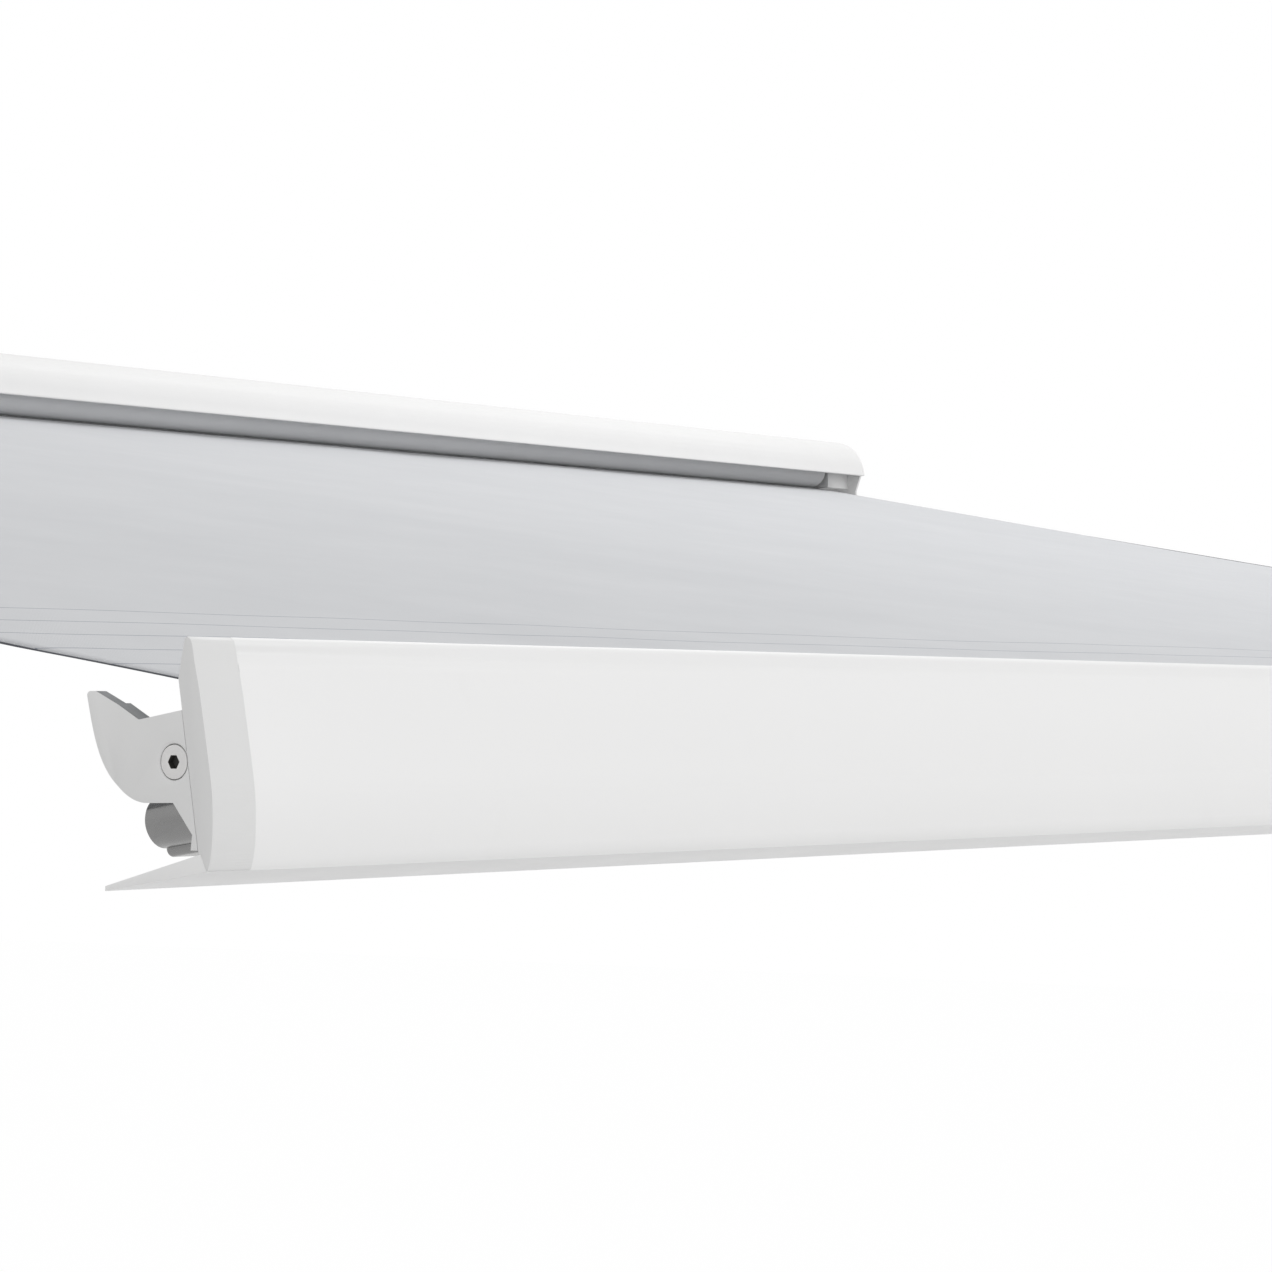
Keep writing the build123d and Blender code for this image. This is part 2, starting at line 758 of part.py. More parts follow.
# Shoulder bracket on the cassette's back wall
ear_near = arm_half + ear_gap
ear_far = ear_near + bracket_ear
long_reach = pin_spread
shoulder_ear = hull_of(
    Pos(*shoulder_spot) * Circle(eye_boss_radius),
    plan_rect(
        -shoulder_x - eye_boss_radius, -shoulder_x + eye_boss_radius, long_reach, long_reach + far_face
    ),
)
ears = slab(shoulder_ear, ear_near, ear_far) + slab(shoulder_ear, -ear_far, -ear_near)
ears -= slab(Pos(*shoulder_spot) * Circle(arm_pin_radius + seat_gap), -ear_far, ear_far)
plate_front = back_wall_inner - shoulder_plate
ears = (arm_seat * ears) & box_between(
    (-half_length, -wide, -2 * wide), (half_length, plate_front + seat_gap, wide)
)
shoulder_plate_box = box_between(
    (-shoulder_x - shoulder_plate_width / 2, plate_front, shoulder_plate_bottom),
    (-shoulder_x + shoulder_plate_width / 2, back_wall_inner, shoulder_plate_top),
)
shoulder_mid = (shoulder_plate_bottom + shoulder_plate_top) / 2
shoulder_bolt_spots = [
    (-shoulder_x + sx * shoulder_bolt_spacing_x / 2, shoulder_mid + sz * shoulder_bolt_spacing_z / 2)
    for sx in (-1, 1)
    for sz in (-1, 1)
]


def bolt_hole(spot, y_from, y_to):
    return Pos(spot[0], y_from, spot[1]) * towards_back * rod(bolt_radius + seat_gap, y_to - y_from)


shoulder_bracket = ears + shoulder_plate_box
for spot in shoulder_bolt_spots:
    shoulder_bracket -= bolt_hole(spot, plate_front - bolt_head, back_wall_inner + bolt_head)
keep("shoulder_bracket_left", in_cassette(shoulder_bracket))
keep("shoulder_bracket_right", in_cassette(mirrored(shoulder_bracket)))

bracket_pin = headed_pin(ear_far + seat_gap)
shoulder_pin = in_cassette(arm_seat * (Pos(*shoulder_spot) * bracket_pin))
keep("shoulder_pins", Compound(children=[shoulder_pin, mirrored(shoulder_pin)]))

# Arm mount on the rail's rear face
mount_ear = hull_of(
    Pos(*front_spot) * Circle(eye_boss_radius),
    plan_rect(
        -shoulder_x - eye_boss_radius, -shoulder_x + eye_boss_radius, -long_reach - far_face, -long_reach
    ),
)
mount_ears = slab(mount_ear, ear_near, ear_far) + slab(mount_ear, -ear_far, -ear_near)
mount_ears -= slab(Pos(*front_spot) * Circle(arm_pin_radius + seat_gap), -ear_far, ear_far)
pin_up_face = front_pin_back * sin(lean) - front_pin_down * cos(lean)
behind_face = on_rear(
    box_between(
        (-half_length, mount_plate - seat_gap, -2 * wide), (half_length, 2 * wide, wide)
    )
)
mount_plate_box = on_rear(
    box_between(
        (-shoulder_x - mount_width / 2, 0, pin_up_face - mount_height / 2),
        (-shoulder_x + mount_width / 2, mount_plate, pin_up_face + mount_height / 2),
    )
)
arm_mount = ((arm_seat * mount_ears) & behind_face) + mount_plate_box
keep("arm_mount_left", in_open_rail(arm_mount))
keep("arm_mount_right", in_open_rail(mirrored(arm_mount)))
front_pin = in_open_rail(arm_seat * (Pos(*front_spot) * bracket_pin))
keep("front_pins", Compound(children=[front_pin, mirrored(front_pin)]))

# Cassette back profile: back wall with a hooked rib behind it for the wall brackets
inner_length = half_length - end_plate
wall_outer = back_wall_inner + wall_skin
shelf_bottom = shelf_top - wall_skin
back_points = [
    (back_wall_inner, shelf_bottom),
    (wall_outer, shelf_bottom),
    (wall_outer, rib_level),
    (wall_outer + rib_back - wall_skin, rib_level),
    (wall_outer + rib_back - wall_skin, rib_level - rib_drop),
    (wall_outer + rib_back, rib_level - rib_drop),
    (wall_outer + rib_back, rib_level + wall_skin),
    (wall_outer, rib_level + wall_skin),
    (wall_outer, back_wall_top),
    (back_wall_inner, back_wall_top),
]
back_profile = along_x(face_of(back_points), -inner_length, inner_length)
for spot in shoulder_bolt_spots:
    for side in (1, -1):
        mirrored_spot = (side * spot[0], spot[1])
        back_profile -= bolt_hole(mirrored_spot, plate_front, wall_outer + bolt_head)
bracket_places = [
    -half_length * bracket_side_share,
    0,
    half_length * bracket_side_share,
]


keep("back_profile", in_cassette(back_profile))

# Bottom shelf: a flat profile against the foot of the back wall, with a port for the cap screws
low_port = (back_wall_inner - port_radius * 1.05, shelf_top + port_radius * 0.8)
shelf_face = face_of(
    [
        (shelf_front, shelf_bottom),
        (back_wall_inner, shelf_bottom),
        (back_wall_inner, shelf_top),
        (shelf_front, shelf_top),
    ]
)
shelf_face += Pos(*low_port) * Circle(port_radius)
shelf_face -= Pos(*low_port) * Circle(port_bore)
bottom_shelf = along_x(shelf_face, -inner_length, inner_length)


def shelf_hole(x):
    depth = wall_skin + bracket_shelf_thickness
    spot = Pos(x, shelf_bolt_back, shelf_bottom - bracket_shelf_thickness - bolt_head)
    return spot * rod(bolt_radius + seat_gap, depth + 2 * bolt_head)


for place in bracket_places:
    for side in (-1, 1):
        bottom_shelf -= shelf_hole(place + side * shelf_bolt_spacing / 2)

gear_face = inner_length - gear_case_length
roller_up = -keder_down + (
    (roller_back - keder_back) * sin(slope)
    + (roller_tube_radius + wrap_thickness + cloth_thickness)
) / cos(slope)
worm_back = roller_back + wheel_radius + worm_radius + mesh_gap
worm_x = gear_face + gear_case_wall + wheel_width / 2 + roller_left_gap / 3
shaft_way = Pos(worm_x, worm_back, shelf_bottom - wall_skin) * rod(
    worm_shaft_radius + 4 * mesh_gap, 3 * wall_skin
)
bottom_shelf -= shaft_way
keep("bottom_shelf", in_cassette(bottom_shelf))

# Hood: curved front and top in one skin, closed by a bead along its lower edge
hood_outer = [(s[0] * hood_height, s[1] * hood_height) for s in hood_curve_shares]
hood_outer_line = Spline(*hood_outer)
hood_inner = [(p[0] + wall_skin, p[1] - wall_skin * 0.35) for p in hood_outer[:-3]]
hood_inner += [(hood_outer[-3][0] + wall_skin * 0.7, hood_outer[-3][1] - wall_skin * 0.8)]
hood_inner += [(hood_outer[-2][0] + wall_skin * 0.3, hood_outer[-2][1] - wall_skin)]
hood_inner += [(hood_outer[-1][0], hood_outer[-1][1] - wall_skin)]
hood_lines = Curve() + Spline(*hood_outer)
hood_lines += Polyline(
    hood_outer[-1],
    (wall_outer, hood_height),
    (wall_outer, back_wall_top),
    (back_wall_inner, back_wall_top),
    (back_wall_inner, hood_height - wall_skin),
    hood_inner[-1],
)
hood_lines += Spline(*list(reversed(hood_inner)))
hood_lines += Polyline(hood_inner[0], hood_outer[0])
hood_face = make_face(hood_lines)
bead_spot = (hood_outer[0][0] + hood_bead / 2, hood_lip_level + hood_bead / 4)
hood_face += Pos(*bead_spot) * RectangleRounded(hood_bead, hood_bead / 2, hood_bead / 5)
top_port = (back_wall_inner - port_radius * 0.8, hood_height - wall_skin - port_radius * 0.8)
front_port = (hood_outer[3][0] + 1.1 * port_radius, hood_outer[3][1] - 1.1 * port_radius)
for port in (top_port, front_port):
    hood_face += Pos(*port) * Circle(port_radius)
for port in (top_port, front_port):
    hood_face -= Pos(*port) * Circle(port_bore)
top_cover = along_x(hood_face, -inner_length, inner_length)
keep("top_cover", in_cassette(top_cover))

# Cassette end cap: a side plate, a boss for the roller's bush, sunk screws
rail_clear_top = of_height(crest_back_share)
plate_lines = Curve() + Spline(*hood_outer)
plate_lines += Polyline(
    hood_outer[-1],
    (wall_outer, hood_height),
    (wall_outer, shelf_bottom),
    (shelf_front, shelf_bottom),
    (lip_points[1][0], shelf_top + wall_skin),
    (lip_points[0][0] + hook_thickness, lip_points[0][1] + wall_skin),
    (rear_top[0] + hook_thickness / 2, rear_top[1]),
    (hood_outer[0][0] + hood_bead, hood_lip_level),
    hood_outer[0],
)
side_face = make_face(plate_lines)
side_plate = along_x(side_face, -half_length, -inner_length)
roller_spot = Pos(0, roller_back, roller_up)
bush_way = roller_spot * rod_x(bush_radius + seat_gap, -inner_length, -inner_length + boss_length)
side_boss = roller_spot * rod_x(boss_radius, -inner_length - seat_gap, -inner_length + boss_length)
screw_ports = [low_port, top_port, front_port]


def cap_with_screws(body):
    for port in screw_ports:
        at_port = Pos(0, port[0], port[1])
        body -= at_port * rod_x(
            cap_screw_head_radius + touch_gap, -half_length, -half_length + cap_screw_recess
        )
        body -= at_port * rod_x(cap_screw_radius + touch_gap, -half_length, -inner_length)
    return body


peg_spot = Pos(0, peg_back, -peg_down)
peg_seat = peg_spot * rod_x(peg_radius + seat_gap, -inner_length - end_plate / 2, -inner_length)
cap_left_body = cap_with_screws(side_plate + side_boss - bush_way - peg_seat)
cap_right_body = mirrored(cap_with_screws(side_plate - peg_seat))
keep("cassette_end_cap_left", in_cassette(cap_left_body))
keep("cassette_end_cap_right", in_cassette(cap_right_body))
peg = peg_spot * rod_x(peg_radius, -inner_length - end_plate / 2 + seat_gap, -inner_length + peg_length)
keep("catch_pegs", in_cassette(Compound(children=[peg, mirrored(peg)])))

cap_screws = []
for port in screw_ports:
    at_port = Pos(0, port[0], port[1])
    head_from = -half_length + cap_screw_recess - cap_screw_head
    screw = at_port * rod_x(cap_screw_head_radius, head_from, head_from + cap_screw_head)
    screw += at_port * rod_x(cap_screw_radius, head_from, head_from + cap_screw_length)
    cap_screws += [screw, mirrored(screw)]
keep("end_cap_screws", in_cassette(Compound(children=cap_screws)))

# Wall brackets: hooked over the back profile's rib, bolted below its shelf
bracket_points = [
    (wall_reach, bracket_tab_bottom),
    (wall_reach, bracket_web_level + bracket_plate),
    (wall_outer + run_gap + bracket_hook_thickness, bracket_web_level + bracket_plate),
    (wall_outer + run_gap + bracket_hook_thickness, bracket_hook_top),
    (wall_outer + run_gap, bracket_hook_top),
    (wall_outer + run_gap, bracket_web_level),
    (wall_reach - bracket_plate, bracket_web_level),
    (wall_reach - bracket_plate, shelf_bottom),
    (bracket_shelf_front, shelf_bottom),
    (bracket_shelf_front, shelf_bottom - bracket_shelf_thickness),
    (wall_reach - bracket_plate, shelf_bottom - bracket_shelf_thickness),
    (wall_reach - bracket_plate, bracket_tab_bottom),
]
bracket_bar = along_x(face_of(bracket_points), -bracket_width / 2, bracket_width / 2)
for side in (-1, 1):
    hole_spot = (side * wall_hole_spacing / 2, wall_hole_level)
    bracket_bar -= Pos(hole_spot[0], wall_reach - 2 * bracket_plate, hole_spot[1]) * (
        towards_back * rod(wall_hole_radius, 3 * bracket_plate)
    )
    bracket_bar -= shelf_hole(side * shelf_bolt_spacing / 2)
brackets = [in_cassette(Pos(place, 0, 0) * bracket_bar) for place in bracket_places]
keep("wall_brackets", Compound(children=brackets))

bolts = []
for place in bracket_places:
    for side in (-1, 1):
        x = place + side * shelf_bolt_spacing / 2
        base = Pos(x, shelf_bolt_back, shelf_bottom - bracket_shelf_thickness - bolt_head)
        body = base * rod(bolt_head_radius, bolt_head)
        body += base * rod(bolt_radius, bolt_head + bracket_shelf_thickness + wall_skin + bolt_head)
        bolts.append(in_cassette(body))
for spot in shoulder_bolt_spots:
    base = Pos(spot[0], plate_front - bolt_head, spot[1]) * towards_back
    body = base * rod(bolt_head_radius, bolt_head)
    body += base * rod(bolt_radius, bolt_head + shoulder_plate + wall_skin + bolt_head / 2)
    bolts += [in_cassette(body), in_cassette(mirrored(body))]
keep("mounting_bolts", Compound(children=bolts))

# Roller: tube, plugs with stub shafts, last turns of cloth
roller_from = -inner_length + boss_length + roller_left_gap
roller_to = gear_face - roller_left_gap
tube_bore = roller_tube_radius - roller_tube_wall
roller_tube = rod_x(roller_tube_radius, roller_from, roller_to)
roller_tube -= rod_x(tube_bore, roller_from, roller_to)
keep("roller_tube", in_cassette(roller_spot * roller_tube))
canopy_half = rail_half - cloth_edge_inset
wrap = rod_x(roller_tube_radius + wrap_thickness, -canopy_half, min(canopy_half, roller_to))
wrap -= rod_x(roller_tube_radius + seat_gap, -canopy_half, min(canopy_half, roller_to))
keep("fabric_roll", in_cassette(roller_spot * wrap))
plug_left = rod_x(tube_bore - seat_gap, roller_from, roller_from + plug_depth)
plug_left += rod_x(stub_radius, -inner_length + touch_gap, roller_from)
keep("roller_plug_left", in_cassette(roller_spot * plug_left))
bush = rod_x(bush_radius, -inner_length + seat_gap, -inner_length + boss_length)
bush -= rod_x(stub_radius + run_gap, -inner_length + seat_gap, -inner_length + boss_length)
plug_right = rod_x(tube_bore - seat_gap, roller_to - plug_depth, roller_to)
plug_right += rod_x(stub_radius, roller_to - seat_gap, inner_length - touch_gap - gear_case_wall / 2)
keep("roller_plug_right", in_cassette(roller_spot * plug_right))

# Gear case, worm wheel on the roller's stub, worm shaft with the crank's eye
case_outer = box_between(
    (gear_face, gear_case_front, gear_case_bottom), (inner_length - seat_gap, gear_case_back, gear_case_top)
)
case_inner = box_between(
    (gear_face + gear_case_wall, gear_case_front + gear_case_wall, gear_case_bottom + gear_case_wall),
    (inner_length - gear_case_wall, gear_case_back - gear_case_wall, gear_case_top - gear_case_wall),
)
gear_case = case_outer - case_inner
gear_case -= roller_spot * rod_x(stub_radius + run_gap, gear_face - gear_case_wall, inner_length - gear_case_wall / 2)
worm_line = Pos(worm_x, worm_back, 0)
gear_case -= worm_line * Pos(0, 0, gear_case_bottom - gear_case_wall) * rod(
    worm_shaft_radius + run_gap, gear_case_top - gear_case_bottom + gear_case_wall / 2
)
keep("gear_case", in_cassette(gear_case))
keep("roller_bush", in_cassette(roller_spot * bush))
wheel = rod_x(wheel_radius, worm_x - wheel_width / 2, worm_x + wheel_width / 2)
wheel -= rod_x(stub_radius + seat_gap, worm_x - wheel_width / 2, worm_x + wheel_width / 2)
keep("worm_wheel", in_cassette(roller_spot * wheel))
shaft_top = gear_case_top - gear_case_wall + gear_case_wall / 4
worm_shaft = Pos(0, 0, eye_level) * rod(worm_shaft_radius, shaft_top - eye_level)
worm_shaft += Pos(0, 0, roller_up - worm_length / 2) * rod(worm_radius, worm_length)
eye_disc = Pos(0, -eye_thickness / 2, eye_level - eye_radius) * towards_back * rod(eye_radius, eye_thickness)
eye_hole = Pos(0, -eye_thickness, eye_level - eye_radius) * towards_back * rod(eye_bore, 2 * eye_thickness)
worm_shaft += Pos(0, 0, eye_level - eye_bore / 2) * rod(worm_shaft_radius, eye_bore)
worm_shaft += eye_disc
worm_shaft -= eye_hole
keep("worm_shaft", in_cassette(worm_line * worm_shaft))

# Canopy: one flat sheet from the rail's keder to the underside of the roll
sheet_from = keder_rod_radius + touch_gap
sheet_to = travel + hypot(0, (roller_back - keder_back) / cos(slope) + (
    roller_tube_radius + wrap_thickness + cloth_thickness
) * sin(slope) / cos(slope))
sheet_place = Location((0, keder_back, -keder_down), (canopy_slope, 0, 0))
canopy = sheet_place * box_between(
    (-canopy_half, sheet_from, -cloth_thickness / 2), (canopy_half, sheet_to, cloth_thickness / 2)
)
keep("canopy", in_open_rail(canopy))

print("travel", round(travel, 1), "swing", round(swing, 3), "slope length", round(sheet_to - sheet_from, 1))
print("open rail", round(open_back, 2), round(open_level, 2), "lean", round(degrees(lean), 2))
print("shoulder", [round(v, 2) for v in (arm_seat * Pos(*shoulder_spot)).position])
print("elbow open", [round(v, 2) for v in (arm_seat * Pos(*elbow_open)).position])
print("roller", roller_back, round(roller_up, 2), "worm", round(worm_x, 2), round(worm_back, 2))
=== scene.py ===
import json
from math import cos, hypot, pi, radians, sin

import bmesh
import bpy
from mathutils import Matrix, Vector, noise


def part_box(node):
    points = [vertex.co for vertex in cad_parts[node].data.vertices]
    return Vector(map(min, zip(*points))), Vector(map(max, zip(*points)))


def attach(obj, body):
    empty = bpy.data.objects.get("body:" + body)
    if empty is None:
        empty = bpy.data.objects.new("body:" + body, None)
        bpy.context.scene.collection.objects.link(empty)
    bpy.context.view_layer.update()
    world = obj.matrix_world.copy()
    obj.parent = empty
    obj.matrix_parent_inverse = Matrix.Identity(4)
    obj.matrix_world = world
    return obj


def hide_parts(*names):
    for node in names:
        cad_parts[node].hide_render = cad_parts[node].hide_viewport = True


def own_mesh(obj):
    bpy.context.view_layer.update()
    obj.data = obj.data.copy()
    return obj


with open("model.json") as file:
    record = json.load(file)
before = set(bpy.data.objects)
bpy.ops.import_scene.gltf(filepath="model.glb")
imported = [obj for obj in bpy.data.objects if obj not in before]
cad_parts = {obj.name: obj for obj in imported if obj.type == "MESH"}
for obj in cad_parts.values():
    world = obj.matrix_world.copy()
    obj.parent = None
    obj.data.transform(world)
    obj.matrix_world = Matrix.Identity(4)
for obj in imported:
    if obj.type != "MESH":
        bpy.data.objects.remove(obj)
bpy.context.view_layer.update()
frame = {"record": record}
print("stage: frame loaded")

# places of the awning, in metres and radians
awning = {
    "slope": radians(9.8),
    "railTop": (-2.482402, -0.345467),  # Y and Z of the rail's top front edge
    "railHalf": 2.236,
    "kederBack": 0.003,
    "kederDown": 0.031,
}


# ---- small helpers

def linkObject(name, data):
    obj = bpy.data.objects.new(name, data)
    bpy.context.scene.collection.objects.link(obj)
    return obj


def finishMesh(name, bm, material, smoothAngle=32.0):
    bmesh.ops.recalc_face_normals(bm, faces=bm.faces)
    mesh = bpy.data.meshes.new(name)
    bm.to_mesh(mesh)
    bm.free()
    mesh.polygons.foreach_set("use_smooth", [True] * len(mesh.polygons))
    mesh.set_sharp_from_angle(angle=radians(smoothAngle))
    mesh.materials.append(material)
    return linkObject(name, mesh)


def placePiece(obj, body, nodes=()):
    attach(obj, body)
    if nodes:
        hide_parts(*nodes)
    return obj


def onSlope(x, along, lift=0.0):
    rise, run = sin(awning["slope"]), cos(awning["slope"])
    y = awning["railTop"][0] + awning["kederBack"] + along * run - lift * rise
    z = awning["railTop"][1] - awning["kederDown"] + along * rise + lift * run
    return Vector((x, y, z))


def thicken(obj, thickness):
    shell = obj.modifiers.new("thickness", "SOLIDIFY")
    shell.thickness = thickness
    shell.offset = 0.0


# ---- shared shader groups

def newGroup(name, inputs, outputs):
    tree = bpy.data.node_groups.new(name, "ShaderNodeTree")
    for label, kind, value in inputs:
        socket = tree.interface.new_socket(name=label, in_out="INPUT", socket_type=kind)
        if value is not None:
            socket.default_value = value
    for label, kind in outputs:
        tree.interface.new_socket(name=label, in_out="OUTPUT", socket_type=kind)
    return tree, tree.nodes.new("NodeGroupInput"), tree.nodes.new("NodeGroupOutput")


def addMath(tree, operation, a, b=None, c=None):
    node = tree.nodes.new("ShaderNodeMath")
    node.operation = operation
    for k, value in enumerate((a, b, c)):
        if value is None:
            continue
        if isinstance(value, (int, float)):
            node.inputs[k].default_value = value
        else:
            tree.links.new(value, node.inputs[k])
    return node.outputs[0]


def buildGrainGroup():
    tree, into, out = newGroup(
        "surfaceGrain",
        [("Vector", "NodeSocketVector", None), ("Grain Scale", "NodeSocketFloat", 900.0),
         ("Patch Scale", "NodeSocketFloat", 3.0), ("Dust Scale", "NodeSocketFloat", 40.0)],
        [("Grain", "NodeSocketFloat"), ("Patch", "NodeSocketFloat"), ("Dust", "NodeSocketFloat")],
    )
    for label, scaleName, detail, rough in (
        ("Grain", "Grain Scale", 3.0, 0.6),
        ("Patch", "Patch Scale", 4.0, 0.55),
        ("Dust", "Dust Scale", 6.0, 0.7),
    ):
        texture = tree.nodes.new("ShaderNodeTexNoise")
        texture.inputs["Detail"].default_value = detail
        texture.inputs["Roughness"].default_value = rough
        tree.links.new(into.outputs["Vector"], texture.inputs["Vector"])
        tree.links.new(into.outputs[scaleName], texture.inputs["Scale"])
        tree.links.new(texture.outputs["Fac"], out.inputs[label])
    return tree


def buildWeaveGroup():
    tree, into, out = newGroup(
        "clothWeave",
        [("Vector", "NodeSocketVector", None), ("Threads", "NodeSocketFloat", 1500.0)],
        [("Height", "NodeSocketFloat"), ("Thread Shade", "NodeSocketFloat")],
    )
    split = tree.nodes.new("ShaderNodeSeparateXYZ")
    tree.links.new(into.outputs["Vector"], split.inputs[0])
    turns = addMath(tree, "MULTIPLY", into.outputs["Threads"], pi)
    warp = addMath(tree, "SINE", addMath(tree, "MULTIPLY", split.outputs["X"], turns))
    weft = addMath(tree, "SINE", addMath(tree, "MULTIPLY", split.outputs["Y"], turns))
    crossing = addMath(tree, "MULTIPLY", warp, weft)
    tree.links.new(addMath(tree, "MULTIPLY_ADD", crossing, 0.5, 0.5), out.inputs["Height"])
    shade = addMath(tree, "MULTIPLY_ADD", addMath(tree, "ABSOLUTE", crossing), 0.4, 0.6)
    tree.links.new(shade, out.inputs["Thread Shade"])
    return tree


grainGroup = buildGrainGroup()
weaveGroup = buildWeaveGroup()

# the part of each noise pattern that drives a colour or a roughness
patternRange = {"patch": (0.3, 0.7), "dust": (0.62, 0.78), "roughness": (0.3, 0.75)}
paleDust = (0.45, 0.43, 0.40)
# the Mix node has sockets of the same name for each data type, so its colour ones go by number
mixSocket = {"first": 6, "second": 7, "result": 2}


def startMaterial(name, settings):
    material = bpy.data.materials.new(name)
    material.use_nodes = True
    tree = material.node_tree
    shader = tree.nodes["Principled BSDF"]
    for label, value in settings["sockets"].items():
        shader.inputs[label].default_value = value
    coords = tree.nodes.new("ShaderNodeTexCoord")
    mapping = tree.nodes.new("ShaderNodeMapping")
    mapping.inputs["Scale"].default_value = settings.get("stretch", (1.0, 1.0, 1.0))
    tree.links.new(coords.outputs["Object"], mapping.inputs["Vector"])
    grain = tree.nodes.new("ShaderNodeGroup")
    grain.node_tree = grainGroup
    grain.inputs["Grain Scale"].default_value = settings["grainScale"]
    grain.inputs["Patch Scale"].default_value = settings["patchScale"]
    grain.inputs["Dust Scale"].default_value = settings["dustScale"]
    tree.links.new(mapping.outputs["Vector"], grain.inputs["Vector"])
    return material, tree, shader, coords, grain


def mixColours(tree, factor, first, second):
    node = tree.nodes.new("ShaderNodeMix")
    node.data_type = "RGBA"
    tree.links.new(factor, node.inputs["Factor"])
    for label, value in (("first", first), ("second", second)):
        socket = node.inputs[mixSocket[label]]
        if isinstance(value, tuple):
            socket.default_value = (*value, 1.0)
        else:
            tree.links.new(value, socket)
    return node.outputs[mixSocket["result"]]


def spread(tree, value, fromRange, toRange):
    node = tree.nodes.new("ShaderNodeMapRange")
    tree.links.new(value, node.inputs["Value"])
    for label, number in zip(("From Min", "From Max", "To Min", "To Max"), fromRange + toRange):
        node.inputs[label].default_value = number
    return node.outputs["Result"]


def patchColours(tree, grain, settings):
    patch = spread(tree, grain.outputs["Patch"], patternRange["patch"], (0.0, 1.0))
    return mixColours(tree, patch, settings["colour"], settings["colourPatch"])


def finishMaterial(tree, shader, grain, settings, colour=None, height=None):
    if colour is None:
        colour = patchColours(tree, grain, settings)
        dust = spread(tree, grain.outputs["Dust"], patternRange["dust"], (0.0, settings["dust"]))
        colour = mixColours(tree, dust, colour, settings.get("dustColour", paleDust))
    tree.links.new(colour, shader.inputs["Base Color"])
    roughness = spread(
        tree, grain.outputs["Dust"], patternRange["roughness"], settings["roughness"])
    tree.links.new(roughness, shader.inputs["Roughness"])
    bump = tree.nodes.new("ShaderNodeBump")
    bump.inputs["Distance"].default_value = settings["bumpDistance"]
    bump.inputs["Strength"].default_value = settings["bumpStrength"]
    tree.links.new(grain.outputs["Grain"] if height is None else height, bump.inputs["Height"])
    tree.links.new(bump.outputs["Normal"], shader.inputs["Normal"])


def plainFinish(name, settings):
    material, tree, shader, coords, grain = startMaterial(name, settings)
    finishMaterial(tree, shader, grain, settings)
    return material


# ---- finishes of the awning

whitePaint = plainFinish("whitePowderCoat", {
    "colour": (0.872, 0.870, 0.868), "colourPatch": (0.858, 0.857, 0.855), "dust": 0.04,
    "grainScale": 700.0, "patchScale": 1.6, "dustScale": 14.0,
    "roughness": (0.34, 0.46), "bumpDistance": 0.00006, "bumpStrength": 0.35,
    "sockets": {"Specular IOR Level": 0.45, "Coat Weight": 0.12, "Coat Roughness": 0.3},
})
capPaint = plainFinish("capPaint", {
    "colour": (0.745, 0.745, 0.742), "colourPatch": (0.728, 0.728, 0.726), "dust": 0.05,
    "grainScale": 1100.0, "patchScale": 9.0, "dustScale": 60.0,
    "roughness": (0.42, 0.55), "bumpDistance": 0.00008, "bumpStrength": 0.4,
    "sockets": {"Specular IOR Level": 0.4},
})
hoodPaint = plainFinish("hoodPaint", {
    "colour": (0.728, 0.726, 0.724), "colourPatch": (0.715, 0.713, 0.711), "dust": 0.05,
    "grainScale": 1100.0, "patchScale": 9.0, "dustScale": 60.0,
    "roughness": (0.42, 0.55), "bumpDistance": 0.00008, "bumpStrength": 0.4,
    "sockets": {"Specular IOR Level": 0.4},
})
hookPaint = plainFinish("hookPaint", {
    "colour": (0.775, 0.775, 0.772), "colourPatch": (0.757, 0.757, 0.755), "dust": 0.05,
    "grainScale": 1300.0, "patchScale": 14.0, "dustScale": 80.0,
    "roughness": (0.45, 0.6), "bumpDistance": 0.0001, "bumpStrength": 0.4,
    "sockets": {"Specular IOR Level": 0.4},
})
bracketMetal = plainFinish("bracketMetal", {
    "colour": (0.60, 0.605, 0.61), "colourPatch": (0.54, 0.545, 0.55), "dust": 0.15,
    "grainScale": 1500.0, "patchScale": 18.0, "dustScale": 90.0, "stretch": (0.25, 1.0, 1.0),
    "roughness": (0.38, 0.55), "bumpDistance": 0.00008, "bumpStrength": 0.3,
    "sockets": {"Metallic": 1.0},
})
zincSteel = plainFinish("zincSteel", {
    "colour": (0.66, 0.665, 0.68), "colourPatch": (0.55, 0.56, 0.60), "dust": 0.12,
    "grainScale": 2200.0, "patchScale": 160.0, "dustScale": 240.0,
    "roughness": (0.25, 0.42), "bumpDistance": 0.00004, "bumpStrength": 0.3,
    "sockets": {"Metallic": 1.0},
})
screwSteel = plainFinish("screwSteel", {
    "colour": (0.75, 0.742, 0.735), "colourPatch": (0.71, 0.70, 0.692), "dust": 0.08,
    "grainScale": 2600.0, "patchScale": 160.0, "dustScale": 260.0,
    "roughness": (0.38, 0.5), "bumpDistance": 0.00003, "bumpStrength": 0.3,
    "sockets": {"Metallic": 0.35},
})
bareAluminium = plainFinish("bareAluminium", {
    "colour": (0.250, 0.249, 0.248), "colourPatch": (0.240, 0.239, 0.238), "dust": 0.02,
    "grainScale": 2400.0, "patchScale": 60.0, "dustScale": 160.0, "stretch": (0.04, 1.0, 1.0),
    "roughness": (0.24, 0.30), "bumpDistance": 0.00002, "bumpStrength": 0.05,
    "sockets": {"Metallic": 1.0},
})
